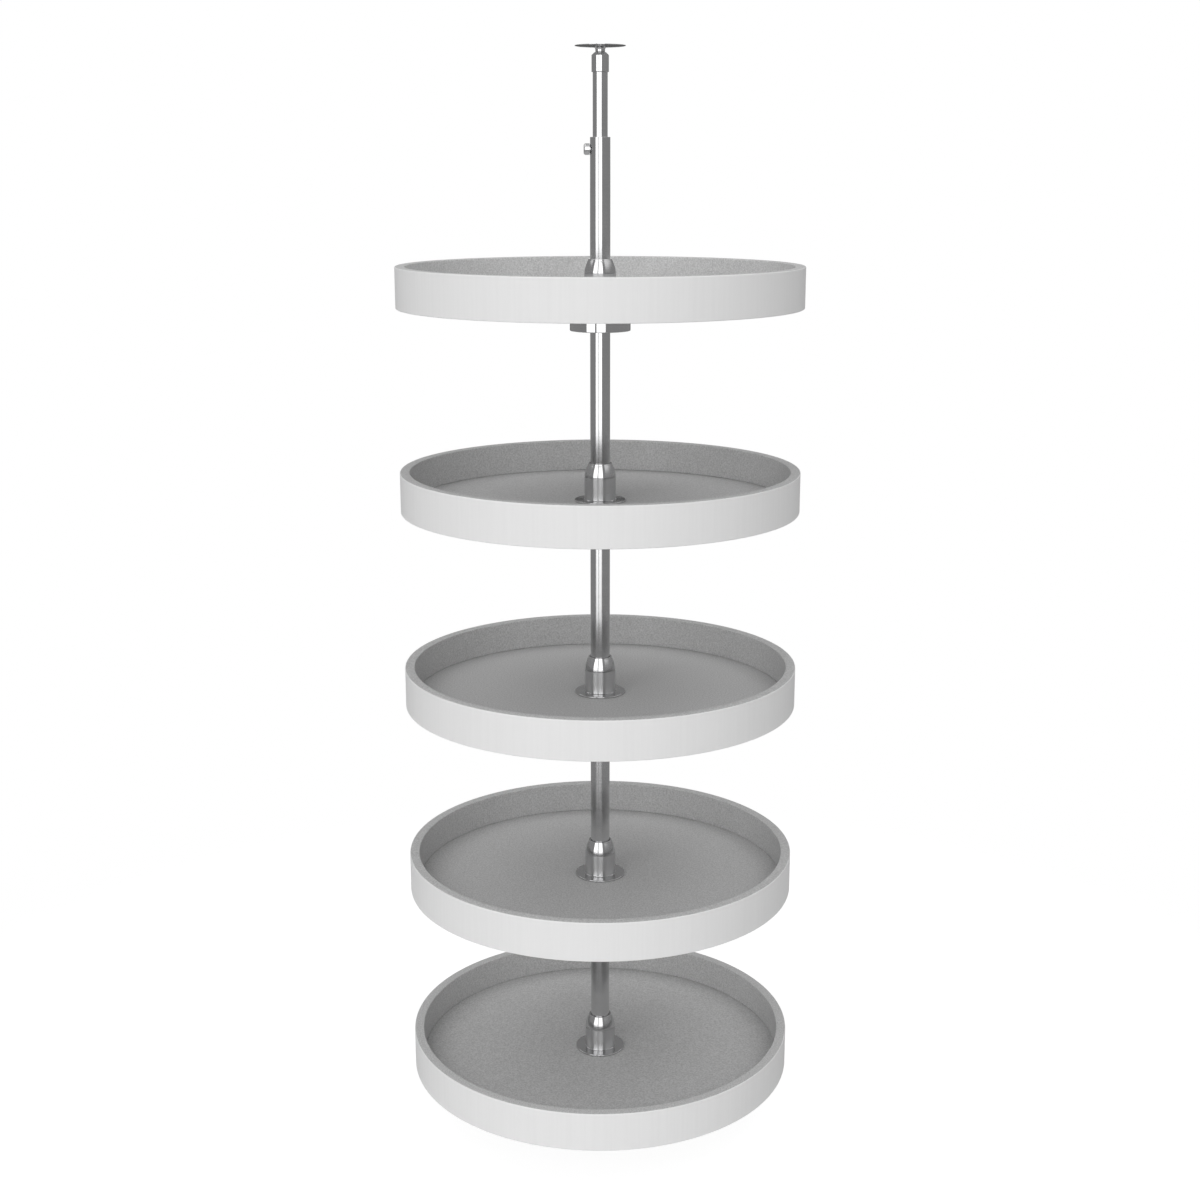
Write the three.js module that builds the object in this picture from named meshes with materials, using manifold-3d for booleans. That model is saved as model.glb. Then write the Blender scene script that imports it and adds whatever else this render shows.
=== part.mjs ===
// A rotating pantry unit: a telescoping pole that turns between a floor pivot and a ceiling
// pivot, with round trays that turn by themselves on cups clamped to the pole.
// Millimetres, +Z up. The origin is the centre of the floor flange's underside.

import * as THREE from 'three';
import { mergeVertices } from 'three/addons/utils/BufferGeometryUtils.js';
import Module from 'manifold-3d';

// ---- Clearances ----
const seatGap = 0.3; // between two pieces that are fixed together or rest on each other
const runningGap = 0.4; // radial, between a bore and what turns or slides in it
const cutMargin = 1; // how far a cutting tool runs past the wall it cuts

// ---- Facets in a full turn ----
const trayFacets = 40;
const hubFacets = 20;
const poleFacets = 16;
const screwFacets = 8;
const ballFacets = 8;

// ---- Trays ----
const trayCount = 5;
const trayPitch = 255.3; // from one rim's top to the next
const trayRadius = 254;
const rimHeight = 50.8;
const rimThickness = 12.7;
const rimEdge = 1.2; // eased edge along the top of the rim
const rebateDepth = 3; // step in the rim's inner face that takes the floor panel
const floorThickness = 9.5;

// ---- Pole ----
const outerTubeRadius = 12.5;
const outerTubeWall = 1.5;
const innerTubeRadius = 9.2;
const innerTubeWall = 1.4;
const tubeStub = 10; // bare tube below the lowest support cup
const tubeAboveTopRim = 153.9; // outer tube standing above the top tray's rim
const innerTubeShown = 75.9; // inner tube standing out of the outer tube
const innerTubeHidden = 200; // inner tube left inside the outer tube

// ---- Floor and ceiling pivots ----
const flangeRadius = 31;
const flangeEdgeHeight = 0.5;
const flangeLipWidth = 1.5;
const flangeLipHeight = 0.3;
const flangeConeRadius = 9; // where the disc's shallow cone meets the neck
const flangeConeHeight = 2.1;
const neckRadius = 5.9;
const neckFlareHeight = 2.8;
const neckHeight = 2.7;
const flareSteps = 2;
const flangeScrewCount = 3;
const flangeScrewCircleRadius = 23;
const flangeScrewHoleRadius = 2.2;
const countersinkRadius = 4.2; // a screw head's, which stands a little proud of the thin disc
const countersinkDepth = 0.3; // height over the flange's face at which the sink begins
const pinRadius = 4;
const ceilingPinLength = 18;
const floorPinLength = 10;

// ---- Caps on the pole's ends ----
const capOverhang = 1.4; // how far a cap's head stands out past its tube
const topCapHeight = 22.8;
const footCapHeight = 15;
const capChamferHeight = 3.5;
const capFaceRadius = 6.75; // flat ring at the cap's end, outside the neck
const capSpigotLength = 14;

// ---- Telescope guides and lock ----
const guideHeight = 8;
const guideSpigotLength = 12;
const guideWall = 2.5;
const lockScrewDrop = 14.3; // lock screw's axis below the outer tube's end
const lockScrewRadius = 2.6;
const lockBossRadius = 5;
const lockBossReach = 1.5; // boss standing out of the tube
const lockHeadRadius = 6.8;
const lockHeadLength = 5.9; // beyond the boss
const lockHeadRound = 2.5;
const lockFacets = 16;
const roundSteps = 3;

// ---- Hub on each tray ----
const bushWall = 4.4;
const bushFlangeThickness = 2.4;
const sleeveWall = 2.5;
const sleeveHeight = 31.5;
const sleeveFlangeRadius = 33;
const sleeveFlangeThickness = 2.3;
const sleeveFlangeEdge = 0.9;
const sleeveFillet = 0.8;
const hubCapHeight = 17.2;
const hubCapLand = 2.1; // width of the cap's flat top
const hubCapLean = 0.12; // lean of the cap's side where it leaves the sleeve, in radians
const hubCapEdge = 0.6;
const hubCapSpigotLength = 5;
const ogiveSteps = 3;

// ---- Support under each tray ----
const washerThickness = 2;
const cupRadius = 38;
const cupHeight = 24;
const cupWall = 3;
const cupWebThickness = 3.8;
const cupEdge = 0.8;
const washerInset = 5; // cup's rim standing out past the washer
const cupBossWall = 6.6;
const cupBossRise = 2; // boss's lower end above the cup's lower edge
const setScrewRadius = 2.5;
const socketRadius = 1.3;
const socketDepth = 3;
const keyHoleRadius = 4; // hole in the cup's skirt that lets the key in

// ---- Radii that follow ----
const poleBore = outerTubeRadius + runningGap; // bore of all that runs on the outer tube
const outerTubeBore = outerTubeRadius - outerTubeWall;
const innerTubeBore = innerTubeRadius - innerTubeWall;
const pinBore = pinRadius + runningGap;
const bushRadius = poleBore + bushWall;
const sleeveBore = bushRadius + seatGap;
const sleeveRadius = sleeveBore + sleeveWall;
const rimInnerRadius = trayRadius - rimThickness;
const rebateRadius = rimInnerRadius + rebateDepth;
const washerRadius = cupRadius - washerInset;
const cupBossRadius = poleBore + cupBossWall;
const lockHoleRadius = lockScrewRadius + runningGap;

// ---- Heights that follow, from the floor up ----
const pivotHeight = flangeConeHeight + neckFlareHeight + neckHeight;
const footBase = pivotHeight + seatGap;
const outerTubeBottom = footBase + footCapHeight + seatGap;
const lowestCupBottom = outerTubeBottom + tubeStub;
const washerBottom = cupHeight + seatGap; // above the cup's lower edge
const bushBottom = washerBottom + washerThickness + seatGap;
const trayBottom = bushBottom + bushFlangeThickness + seatGap;
const topRimTop = lowestCupBottom + trayBottom + rimHeight + (trayCount - 1) * trayPitch;
const outerTubeTop = topRimTop + tubeAboveTopRim;
const innerTubeTop = outerTubeTop + innerTubeShown;
const innerTubeBottom = outerTubeTop - innerTubeHidden;
const topCapBase = innerTubeTop + seatGap;
const ceilingHeight = topCapBase + topCapHeight + seatGap + pivotHeight;
const lockScrewHeight = outerTubeTop - lockScrewDrop;
const setScrewHeight = (cupBossRise + cupHeight - cupWebThickness) / 2; // above the cup's edge

// ---- Materials ----
const rimLacquer = () => new THREE.MeshStandardMaterial({ color: 0xdcdcdc, roughness: 0.5 });
const floorLacquer = () => new THREE.MeshStandardMaterial({ color: 0xb4b4b4, roughness: 0.6 });
const chrome = () => new THREE.MeshStandardMaterial({ color: 0xc4c4c6, roughness: 0.08, metalness: 1 });
const steel = () => new THREE.MeshStandardMaterial({ color: 0x8e8f92, roughness: 0.35, metalness: 1 });
const nylon = () => new THREE.MeshStandardMaterial({ color: 0xe6e4de, roughness: 0.55 });

// ---- Solid-making helpers ----
const wasm = await Module();
wasm.setup();

// One closed shell: vertices shared, and the flat triangles at a pole taken out.
function closedShell(geometry) {
  geometry.deleteAttribute('normal');
  geometry.deleteAttribute('uv');
  const shell = mergeVertices(geometry, 1e-4);
  const index = shell.getIndex().array;
  const kept = [];
  for (let i = 0; i < index.length; i += 3) {
    const [a, b, c] = index.slice(i, i + 3);
    if (a !== b && b !== c && c !== a) kept.push(a, b, c);
  }
  shell.setIndex(kept);
  return shell;
}

function toManifold(geometry) {
  const vertProperties = new Float32Array(geometry.getAttribute('position').array);
  const triVerts = new Uint32Array(geometry.getIndex().array);
  return new wasm.Manifold(new wasm.Mesh({ numProp: 3, vertProperties, triVerts }));
}

function fromManifold(solid) {
  const cut = solid.getMesh();
  const geometry = new THREE.BufferGeometry();
  geometry.setAttribute('position', new THREE.BufferAttribute(cut.vertProperties, 3));
  geometry.setIndex(new THREE.BufferAttribute(cut.triVerts, 1));
  return geometry;
}

// The first shell with all the others taken out of it.
function cutAway(shell, ...tools) {
  const solid = tools.reduce((body, tool) => body.subtract(toManifold(tool)), toManifold(shell));
  return fromManifold(solid);
}

// A profile of [radius, height] points turned about Z, listed with the material on its left.
function turned(profile, facets) {
  const points = profile.map(([radius, height]) => new THREE.Vector2(radius, height));
  const lathe = new THREE.LatheGeometry(points, facets);
  return closedShell(lathe.rotateX(Math.PI / 2));
}

// The same for a profile that closes on itself, clear of the axis.
const turnedRing = (profile, facets) => turned([...profile, profile[0]], facets);

const tube = (radius, bore, bottom, top, facets) =>
  turnedRing([[radius, bottom], [radius, top], [bore, top], [bore, bottom]], facets);

const rod = (radius, bottom, top, facets) =>
  turned([[0, bottom], [radius, bottom], [radius, top], [0, top]], facets);

// Points of an arc in a profile, from one angle to another, ends included.
function arc(centreRadius, centreHeight, radius, from, to, steps) {
  return Array.from({ length: steps + 1 }, (_, i) => {
    const angle = from + ((to - from) * i) / steps;
    return [centreRadius + radius * Math.cos(angle), centreHeight + radius * Math.sin(angle)];
  });
}

// A circle's corners, in line with those of a turned piece of as many facets.
function circle(radius, facets) {
  return Array.from({ length: facets }, (_, i) => {
    const angle = (2 * Math.PI * i) / facets;
    return new THREE.Vector2(radius * Math.cos(angle), radius * Math.sin(angle));
  });
}

function piece(name, geometry, material, height = 0) {
  const mesh = new THREE.Mesh(geometry, material);
  mesh.name = name;
  mesh.position.z = height;
  return mesh;
}

// ---- Tray: a bent band with a panel let into a step in its lower inner edge ----
function trayRim() {
  const shoulder = floorThickness + seatGap;
  return turnedRing([
    [rebateRadius, 0],
    [trayRadius, 0],
    [trayRadius, rimHeight - rimEdge],
    [trayRadius - rimEdge, rimHeight],
    [rimInnerRadius + rimEdge, rimHeight],
    [rimInnerRadius, rimHeight - rimEdge],
    [rimInnerRadius, shoulder],
    [rebateRadius, shoulder],
  ], trayFacets);
}

function trayFloor() {
  const outline = new THREE.Shape(circle(rebateRadius - seatGap, trayFacets));
  outline.holes.push(new THREE.Path(circle(bushRadius + seatGap, hubFacets)));
  const panel = new THREE.ExtrudeGeometry(outline, { depth: floorThickness, bevelEnabled: false });
  return closedShell(panel);
}

// ---- Hub: a nylon bush from below, a chromed sleeve screwed on to it from above, and a cap ----
// The bush's flange is under the floor panel and the sleeve's flange on top of it.
function flangedBush() {
  const neckTop = floorThickness + seatGap + sleeveHeight - hubCapSpigotLength;
  return turnedRing([
    [poleBore, -seatGap - bushFlangeThickness],
    [washerRadius, -seatGap - bushFlangeThickness],
    [washerRadius, -seatGap],
    [bushRadius, -seatGap],
    [bushRadius, neckTop],
    [poleBore, neckTop],
  ], hubFacets);
}

function hubSleeve() {
  return turnedRing([
    [sleeveBore, 0],
    [sleeveFlangeRadius, 0],
    [sleeveFlangeRadius, sleeveFlangeThickness - sleeveFlangeEdge],
    [sleeveFlangeRadius - sleeveFlangeEdge, sleeveFlangeThickness],
    [sleeveRadius + sleeveFillet, sleeveFlangeThickness],
    [sleeveRadius, sleeveFlangeThickness + sleeveFillet],
    [sleeveRadius, sleeveHeight],
    [sleeveBore, sleeveHeight],
  ], hubFacets);
}

// The cap's side is an arc that leaves the sleeve leaning in a little and closes in on the pole.
function hubCap() {
  const topRadius = poleBore + hubCapLand;
  const rise = hubCapHeight - hubCapEdge;
  const drawIn = sleeveRadius - topRadius;
  const halfTurn = Math.atan2(drawIn, rise) - hubCapLean;
  const sideRadius = Math.hypot(rise, drawIn) / (2 * Math.sin(halfTurn));
  return turnedRing([
    [poleBore, -hubCapSpigotLength],
    [bushRadius, -hubCapSpigotLength],
    [bushRadius, 0],
    ...arc(
      sleeveRadius - sideRadius * Math.cos(hubCapLean),
      -sideRadius * Math.sin(hubCapLean),
      sideRadius,
      hubCapLean,
      hubCapLean + 2 * halfTurn,
      ogiveSteps,
    ),
    [topRadius - hubCapEdge, hubCapHeight],
    [poleBore, hubCapHeight],
  ], hubFacets);
}

// ---- Support: a cast cup, hollow below, clamped to the pole by a screw in its boss ----
function supportCup() {
  const webBottom = cupHeight - cupWebThickness;
  const skirtBore = cupRadius - cupWall;
  const cup = turnedRing([
    [poleBore, cupBossRise],
    [cupBossRadius, cupBossRise],
    [cupBossRadius, webBottom],
    [skirtBore, webBottom],
    [skirtBore, 0],
    [cupRadius - cupEdge, 0],
    [cupRadius, cupEdge],
    [cupRadius, cupHeight],
    [poleBore, cupHeight],
  ], hubFacets);
  const screwHoleRadius = setScrewRadius + seatGap;
  const drill = turned([
    [0, 0],
    [screwHoleRadius, 0],
    [screwHoleRadius, cupBossRadius + cutMargin],
    [keyHoleRadius, cupBossRadius + cutMargin],
    [keyHoleRadius, cupRadius + cutMargin],
    [0, cupRadius + cutMargin],
  ], screwFacets);
  drill.rotateX(-Math.PI / 2).translate(0, 0, setScrewHeight);
  return cutAway(cup, drill);
}

function setScrew() {
  const tip = outerTubeRadius + seatGap;
  return turned([
    [0, tip],
    [setScrewRadius, tip],
    [setScrewRadius, cupBossRadius],
    [socketRadius, cupBossRadius],
    [socketRadius, cupBossRadius - socketDepth],
    [0, cupBossRadius - socketDepth],
  ], screwFacets);
}

function trayLevel(number, cupBottom) {
  const level = new THREE.Group();
  level.position.z = cupBottom;
  const clampScrew = piece(`set_screw_${number}`, setScrew(), steel(), setScrewHeight);
  clampScrew.rotation.x = -Math.PI / 2;
  const washerTop = washerBottom + washerThickness;
  const washer = tube(washerRadius, poleBore, washerBottom, washerTop, hubFacets);
  const sleeveBottom = trayBottom + floorThickness + seatGap;
  level.add(
    piece(`tray_rim_${number}`, trayRim(), rimLacquer(), trayBottom),
    piece(`tray_floor_${number}`, trayFloor(), floorLacquer(), trayBottom),
    piece(`flanged_bush_${number}`, flangedBush(), nylon(), trayBottom),
    piece(`hub_sleeve_${number}`, hubSleeve(), chrome(), sleeveBottom),
    piece(`hub_cap_${number}`, hubCap(), chrome(), sleeveBottom + sleeveHeight + seatGap),
    piece(`thrust_washer_${number}`, washer, steel()),
    piece(`support_cup_${number}`, supportCup(), chrome()),
    clampScrew,
  );
  return level;
}

// ---- Pivot flange: its face on the floor or ceiling, its pin in the end of the pole ----
// The disc is a shallow cone, and an arc flares the neck into it.
function pivotFlange(pinLength) {
  const flareWidth = flangeConeRadius - neckRadius;
  const flare = Array.from({ length: flareSteps }, (_, i) => {
    const angle = (Math.PI / 2) * ((i + 1) / flareSteps);
    return [
      flangeConeRadius - flareWidth * Math.sin(angle),
      flangeConeHeight + neckFlareHeight * (1 - Math.cos(angle)),
    ];
  });
  const flange = turned([
    [0, 0],
    [flangeRadius, 0],
    [flangeRadius, flangeEdgeHeight],
    [flangeRadius - flangeLipWidth, flangeEdgeHeight + flangeLipHeight],
    [flangeConeRadius, flangeConeHeight],
    ...flare,
    [neckRadius, pivotHeight],
    [pinRadius, pivotHeight],
    [pinRadius, pivotHeight + pinLength],
    [0, pivotHeight + pinLength],
  ], poleFacets);
  return cutAway(flange, ...flangeScrewHoles());
}

// Countersunk holes, evenly spaced, the first of them at the back.
function flangeScrewHoles() {
  const sinkRise = countersinkRadius - flangeScrewHoleRadius;
  const sinkTop = countersinkDepth + sinkRise;
  return Array.from({ length: flangeScrewCount }, (_, i) => {
    const angle = Math.PI / 2 + (2 * Math.PI * i) / flangeScrewCount;
    const hole = turned([
      [0, -cutMargin],
      [flangeScrewHoleRadius, -cutMargin],
      [flangeScrewHoleRadius, countersinkDepth],
      [countersinkRadius, sinkTop],
      [countersinkRadius, sinkTop + flangeConeHeight],
      [0, sinkTop + flangeConeHeight],
    ], screwFacets);
    const x = flangeScrewCircleRadius * Math.cos(angle);
    const y = flangeScrewCircleRadius * Math.sin(angle);
    return hole.translate(x, y, 0);
  });
}

// ---- Cap for a tube's end: head, chamfer and spigot, with its flat end at the bottom ----
// Its bore takes a pivot pin. Without a bore depth the bore goes right through.
function endCap(tubeRadius, tubeBore, headHeight, boreDepth) {
  const headRadius = tubeRadius + capOverhang;
  const spigotRadius = tubeBore - seatGap;
  const top = headHeight + capSpigotLength;
  const outside = [
    [pinBore, 0],
    [capFaceRadius, 0],
    [headRadius, capChamferHeight],
    [headRadius, headHeight],
    [spigotRadius, headHeight],
    [spigotRadius, top],
  ];
  if (boreDepth === undefined) return turnedRing([...outside, [pinBore, top]], poleFacets);
  return turned([[0, boreDepth], [pinBore, boreDepth], ...outside, [0, top]], poleFacets);
}

// ---- Telescope: both tubes, their guides and the lock ----
const lockHole = () =>
  rod(lockHoleRadius, 0, outerTubeRadius + cutMargin, lockFacets)
    .rotateY(-Math.PI / 2)
    .translate(0, 0, lockScrewHeight);

function outerTube() {
  const wall = tube(outerTubeRadius, outerTubeBore, outerTubeBottom, outerTubeTop, poleFacets);
  return cutAway(wall, lockHole());
}

function tubeBush() {
  const bottom = outerTubeTop - 2 * lockScrewDrop;
  const bush = tube(
    outerTubeBore - seatGap,
    innerTubeRadius + seatGap,
    bottom,
    outerTubeTop,
    poleFacets,
  );
  return cutAway(bush, lockHole());
}

// Slide ring on the inner tube's lower end. It runs in the outer tube.
function innerGuide() {
  const spigotRadius = innerTubeBore - seatGap;
  const bore = spigotRadius - guideWall;
  return turnedRing([
    [bore, -guideHeight],
    [outerTubeBore - seatGap, -guideHeight],
    [outerTubeBore - seatGap, 0],
    [spigotRadius, 0],
    [spigotRadius, guideSpigotLength],
    [bore, guideSpigotLength],
  ], poleFacets);
}

// Threaded boss on the tube, cut to the tube's round so that it sits on it like a saddle.
function lockBoss() {
  const reach = outerTubeRadius + lockBossReach;
  const boss = tube(lockBossRadius, lockHoleRadius, 0, reach, lockFacets);
  boss.rotateY(-Math.PI / 2);
  const saddle = rod(outerTubeRadius + seatGap, -outerTubeRadius, outerTubeRadius, poleFacets);
  return cutAway(boss, saddle);
}

// The head is hollow at the back: its skirt covers the boss and ends just clear of the tube.
function lockScrew() {
  const skirtEnd = outerTubeRadius + runningGap;
  const skirtBore = lockBossRadius + runningGap;
  const headBottom = outerTubeRadius + lockBossReach + seatGap;
  const headTop = headBottom + lockHeadLength;
  return turned([
    [0, innerTubeRadius + seatGap],
    [lockScrewRadius, innerTubeRadius + seatGap],
    [lockScrewRadius, headBottom],
    [skirtBore, headBottom],
    [skirtBore, skirtEnd],
    [lockHeadRadius, skirtEnd],
    ...arc(
      lockHeadRadius - lockHeadRound,
      headTop - lockHeadRound,
      lockHeadRound,
      0,
      Math.PI / 2,
      roundSteps,
    ),
    [0, headTop],
  ], lockFacets);
}

// ---- Floor pivot: flange, ball on the pin's end, and the plug that turns on them ----
function floorPivot() {
  const pinTop = pivotHeight + floorPinLength;
  const ballCentre = pinTop + seatGap + pinRadius;
  const plugBore = ballCentre + pinRadius + seatGap - footBase;
  const ball = new THREE.SphereGeometry(pinRadius, ballFacets, ballFacets);
  const plug = endCap(outerTubeRadius, outerTubeBore, footCapHeight, plugBore);
  return [
    piece('floor_flange', pivotFlange(floorPinLength), chrome()),
    piece('foot_ball', closedShell(ball), steel(), ballCentre),
    piece('foot_plug', plug, chrome(), footBase),
  ];
}

// ---- Ceiling pivot: the same flange and a cap, both upside down ----
function ceilingPivot() {
  const flange = piece('ceiling_flange', pivotFlange(ceilingPinLength), chrome(), ceilingHeight);
  const cap = piece(
    'top_cap',
    endCap(innerTubeRadius, innerTubeBore, topCapHeight),
    chrome(),
    topCapBase + topCapHeight,
  );
  flange.rotation.x = Math.PI;
  cap.rotation.x = Math.PI;
  return [flange, cap];
}

function pole() {
  const innerWall = tube(
    innerTubeRadius,
    innerTubeBore,
    innerTubeBottom,
    innerTubeTop,
    poleFacets,
  );
  const screw = piece('lock_screw', lockScrew(), chrome(), lockScrewHeight);
  screw.rotation.y = -Math.PI / 2;
  return [
    piece('outer_tube', outerTube(), chrome()),
    piece('inner_tube', innerWall, chrome()),
    piece('tube_bush', tubeBush(), nylon()),
    piece('inner_guide', innerGuide(), nylon(), innerTubeBottom - seatGap),
    piece('lock_boss', lockBoss(), chrome(), lockScrewHeight),
    screw,
  ];
}

// ---- The unit, with the trays numbered from the top ----
const pantryUnit = new THREE.Group();
pantryUnit.add(...floorPivot(), ...pole(), ...ceilingPivot());
for (let number = 1; number <= trayCount; number += 1) {
  const cupBottom = lowestCupBottom + (trayCount - number) * trayPitch;
  pantryUnit.add(trayLevel(number, cupBottom));
}

export default pantryUnit;
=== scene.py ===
# A rotating pantry unit: five round trays that turn about a telescoping chromed pole.
# The sections follow the unit as it is put together, from the floor up.

import math

import bmesh
import bpy
import numpy as np
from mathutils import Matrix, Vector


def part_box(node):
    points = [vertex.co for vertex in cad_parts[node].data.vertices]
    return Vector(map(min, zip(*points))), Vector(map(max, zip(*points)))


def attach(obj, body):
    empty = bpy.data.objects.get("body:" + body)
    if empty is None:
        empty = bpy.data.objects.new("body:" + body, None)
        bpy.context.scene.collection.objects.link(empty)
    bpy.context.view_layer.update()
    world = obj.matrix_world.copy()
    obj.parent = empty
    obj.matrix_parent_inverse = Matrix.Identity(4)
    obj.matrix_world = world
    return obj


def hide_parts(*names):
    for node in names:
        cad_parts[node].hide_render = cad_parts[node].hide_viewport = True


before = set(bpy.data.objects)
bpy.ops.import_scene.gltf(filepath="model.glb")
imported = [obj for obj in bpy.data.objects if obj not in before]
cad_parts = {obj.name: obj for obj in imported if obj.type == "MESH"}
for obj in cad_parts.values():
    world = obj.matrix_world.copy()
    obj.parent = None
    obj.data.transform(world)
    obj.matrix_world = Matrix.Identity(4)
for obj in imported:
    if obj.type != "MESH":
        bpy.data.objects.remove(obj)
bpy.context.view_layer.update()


# ---- Floor flange ----
# The lower pivot, a chromed die casting. Three countersunk wood screws hold its disc to the
# cabinet's floor, and its pin stands up into the foot of the pole.

mm = 0.001
plated_edge = 0.3
flange_edge = 0.15
flange_thickness = 0.5
flange_lip_width = 1.5
flange_lip_height = 0.3
flange_cone_radius = 9.0
flange_cone_height = 2.1
flange_steps = 96
neck_radius = 5.9
neck_flare_height = 2.8
pivot_height = 7.6
pin_radius = 4.0
wood_screw_angles = (90, 210, 330)
wood_screw_circle = 23.0
wood_screw_radius = 2.2
countersink_mouth = 3.1
drilled_reach = 5.6
sharp_edge_degrees = 38


def extent(node_name):
    """A node's greatest radius, its lowest and its highest point, in millimetres."""
    low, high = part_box(node_name)
    return high.x / mm, low.z / mm, high.z / mm


def eased(corners, steps=5, hold=0.15):
    """The closed outline of a turned piece, from rows of radius, height and edge radius.

    Each corner becomes an arc that touches both its sides. The arc starts and ends at
    edge / tan(half the corner) from it, its centre is on the bisector at edge / sin(half the
    corner), and its points swing evenly about the centre. One more point on each side keeps
    the flats flat. A corner with an edge of 0 stays a single point.
    """
    line = np.asarray(corners, float)
    point = line[:, :2]
    edge = line[:, 2:]
    back = np.roll(point, 1, 0) - point
    ahead = np.roll(point, -1, 0) - point
    back_length = np.linalg.norm(back, axis=1, keepdims=True)
    ahead_length = np.linalg.norm(ahead, axis=1, keepdims=True)
    back = back / back_length
    ahead = ahead / ahead_length
    half = np.arccos(np.clip((back * ahead).sum(1, keepdims=True), -1, 1)) / 2
    reach = np.where(edge > 0, edge / np.tan(half), 0)
    bisector = np.where(edge > 0, back + ahead, 1)
    bisector = bisector / np.linalg.norm(bisector, axis=1, keepdims=True)
    centre = point + bisector * edge / np.sin(half)
    start = point + back * reach - centre
    end = point + ahead * reach - centre
    swing = np.where(edge > 0, np.pi - 2 * half, 1)[:, None]
    share = np.linspace(0, 1, steps + 1)[None, :, None]
    arc = np.sin((1 - share) * swing) * start[:, None] + np.sin(share * swing) * end[:, None]
    arc = arc / np.sin(swing) + centre[:, None]
    spare_back = back_length - reach - np.roll(reach, 1, 0)
    spare_ahead = ahead_length - reach - np.roll(reach, -1, 0)
    held = np.where(edge > 0, 1, 0)
    before = point + back * (reach + held * np.minimum(hold, spare_back / 3))
    after = point + ahead * (reach + held * np.minimum(hold, spare_ahead / 3))
    outline = np.concatenate([before[:, None], arc, after[:, None]], 1).reshape(-1, 2)
    return outline[np.linalg.norm(outline - np.roll(outline, 1, 0), axis=1) > 1e-6]


def turned(outline, steps):
    """Points and quads of a closed outline turned about Z, or of one outline for each angle.

    x = radius cos(angle), y = radius sin(angle), z = height. The quads face out where the
    outline has the material on its left. A quad that would lie on the axis is marked -1.
    """
    angle = np.arange(steps)[:, None] * 2 * np.pi / steps
    outline = np.broadcast_to(outline, (steps, *np.shape(outline)[-2:]))
    radius, height = outline[..., 0], outline[..., 1]
    along = outline.shape[1]
    points = np.stack([radius * np.cos(angle), radius * np.sin(angle), height], -1)
    i, j = np.indices((steps, along))
    i_next, j_next = (i + 1) % steps, (j + 1) % along
    quads = np.stack([i, i_next, i_next, i], -1) * along + np.stack([j, j, j_next, j_next], -1)
    on_axis = radius < 1e-6
    quads[on_axis & np.roll(on_axis, -1, 1)] = -1
    return points.reshape(-1, 3), quads.reshape(-1, 4)


def drilled(points, quads, along, columns, rows, across, centre, wall, surfaces):
    """The mesh with a block of its near wall and of its far wall opened by one round hole.

    rows holds the outline's places on the near wall and the same ones on the far wall, and
    across the two axes across the drill. From the near block's border, rings close in on the
    hole along straight lines to its centre. The rings of wall follow, each a radius and the
    share of the way through, and then rings open out again to the far block's border. Each
    ring lies at the height along the drill that surfaces give over its place.
    """
    drill = 3 - sum(across)
    nearness = (0.45, 0.8, 0.94)

    def border(run):
        block = columns[:, None] * along + run
        return np.concatenate([block[:-1, 0], block[-1, :-1], block[:0:-1, -1], block[0, :0:-1]])

    near, far = border(rows[0]), border(rows[1])
    near_flat = points[near][:, across] - centre
    far_flat = points[far][:, across] - centre
    way = near_flat / np.linalg.norm(near_flat, axis=1, keepdims=True)
    closing = [(near_flat * (1 - s) + way * wall[0][0] * s, 0) for s in nearness]
    through = [(way * radius, share) for radius, share in wall]
    opening = [(far_flat * (1 - s) + way * wall[-1][0] * s, 1) for s in nearness[::-1]]
    rings = [near]
    for flat, share in closing + through + opening:
        spot = flat + centre
        ring = np.empty((len(near), 3))
        ring[:, across] = spot
        ring[:, drill] = surfaces[0](spot) * (1 - share) + surfaces[1](spot) * share
        rings.append(np.arange(len(near)) + len(points))
        points = np.concatenate([points, ring])
    rings = np.array(rings + [far])
    ahead = np.roll(rings, -1, 1)
    lining = np.stack([rings[:-1], ahead[:-1], ahead[1:], rings[1:]], -1).reshape(-1, 4)
    quads = quads.copy()
    for run in rows:
        quads[columns[:-1, None] * along + np.arange(run.min(), run.max())] = -1
    return points, np.concatenate([quads, lining])


def made(name, points, quads):
    """The mesh in metres, with its coincident points joined, smooth but for its sharp edges."""
    mesh = bpy.data.meshes.new(name)
    mesh.from_pydata((points * mm).tolist(), [], quads[quads[:, 0] >= 0].tolist())
    joined = bmesh.new()
    joined.from_mesh(mesh)
    bmesh.ops.remove_doubles(joined, verts=joined.verts, dist=1e-7)
    joined.to_mesh(mesh)
    joined.free()
    mesh.shade_smooth()
    mesh.set_sharp_from_angle(angle=math.radians(sharp_edge_degrees))
    thing = bpy.data.objects.new(name, mesh)
    bpy.context.scene.collection.objects.link(thing)
    return thing


def fitted(thing, material, body, node_name):
    """The piece with its finish, in the place of its CAD node and carried by its body."""
    thing.data.materials.append(material)
    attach(thing, body)
    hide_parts(node_name)


def add(tree, kind, inputs=None, **settings):
    """A new node with its options set, and each input linked to a socket or set to a value."""
    node = tree.nodes.new(kind)
    for name, value in settings.items():
        setattr(node, name, value)
    for name, value in (inputs or {}).items():
        if isinstance(value, bpy.types.NodeSocket):
            tree.links.new(value, node.inputs[name])
        else:
            node.inputs[name].default_value = value
    return node


def finish(name):
    """A new material, with its node tree, its shader and its Object coordinates."""
    material = bpy.data.materials.new(name)
    material.use_nodes = True
    tree = material.node_tree
    place = add(tree, "ShaderNodeTexCoord").outputs["Object"]
    return material, tree, tree.nodes["Principled BSDF"], place


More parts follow.
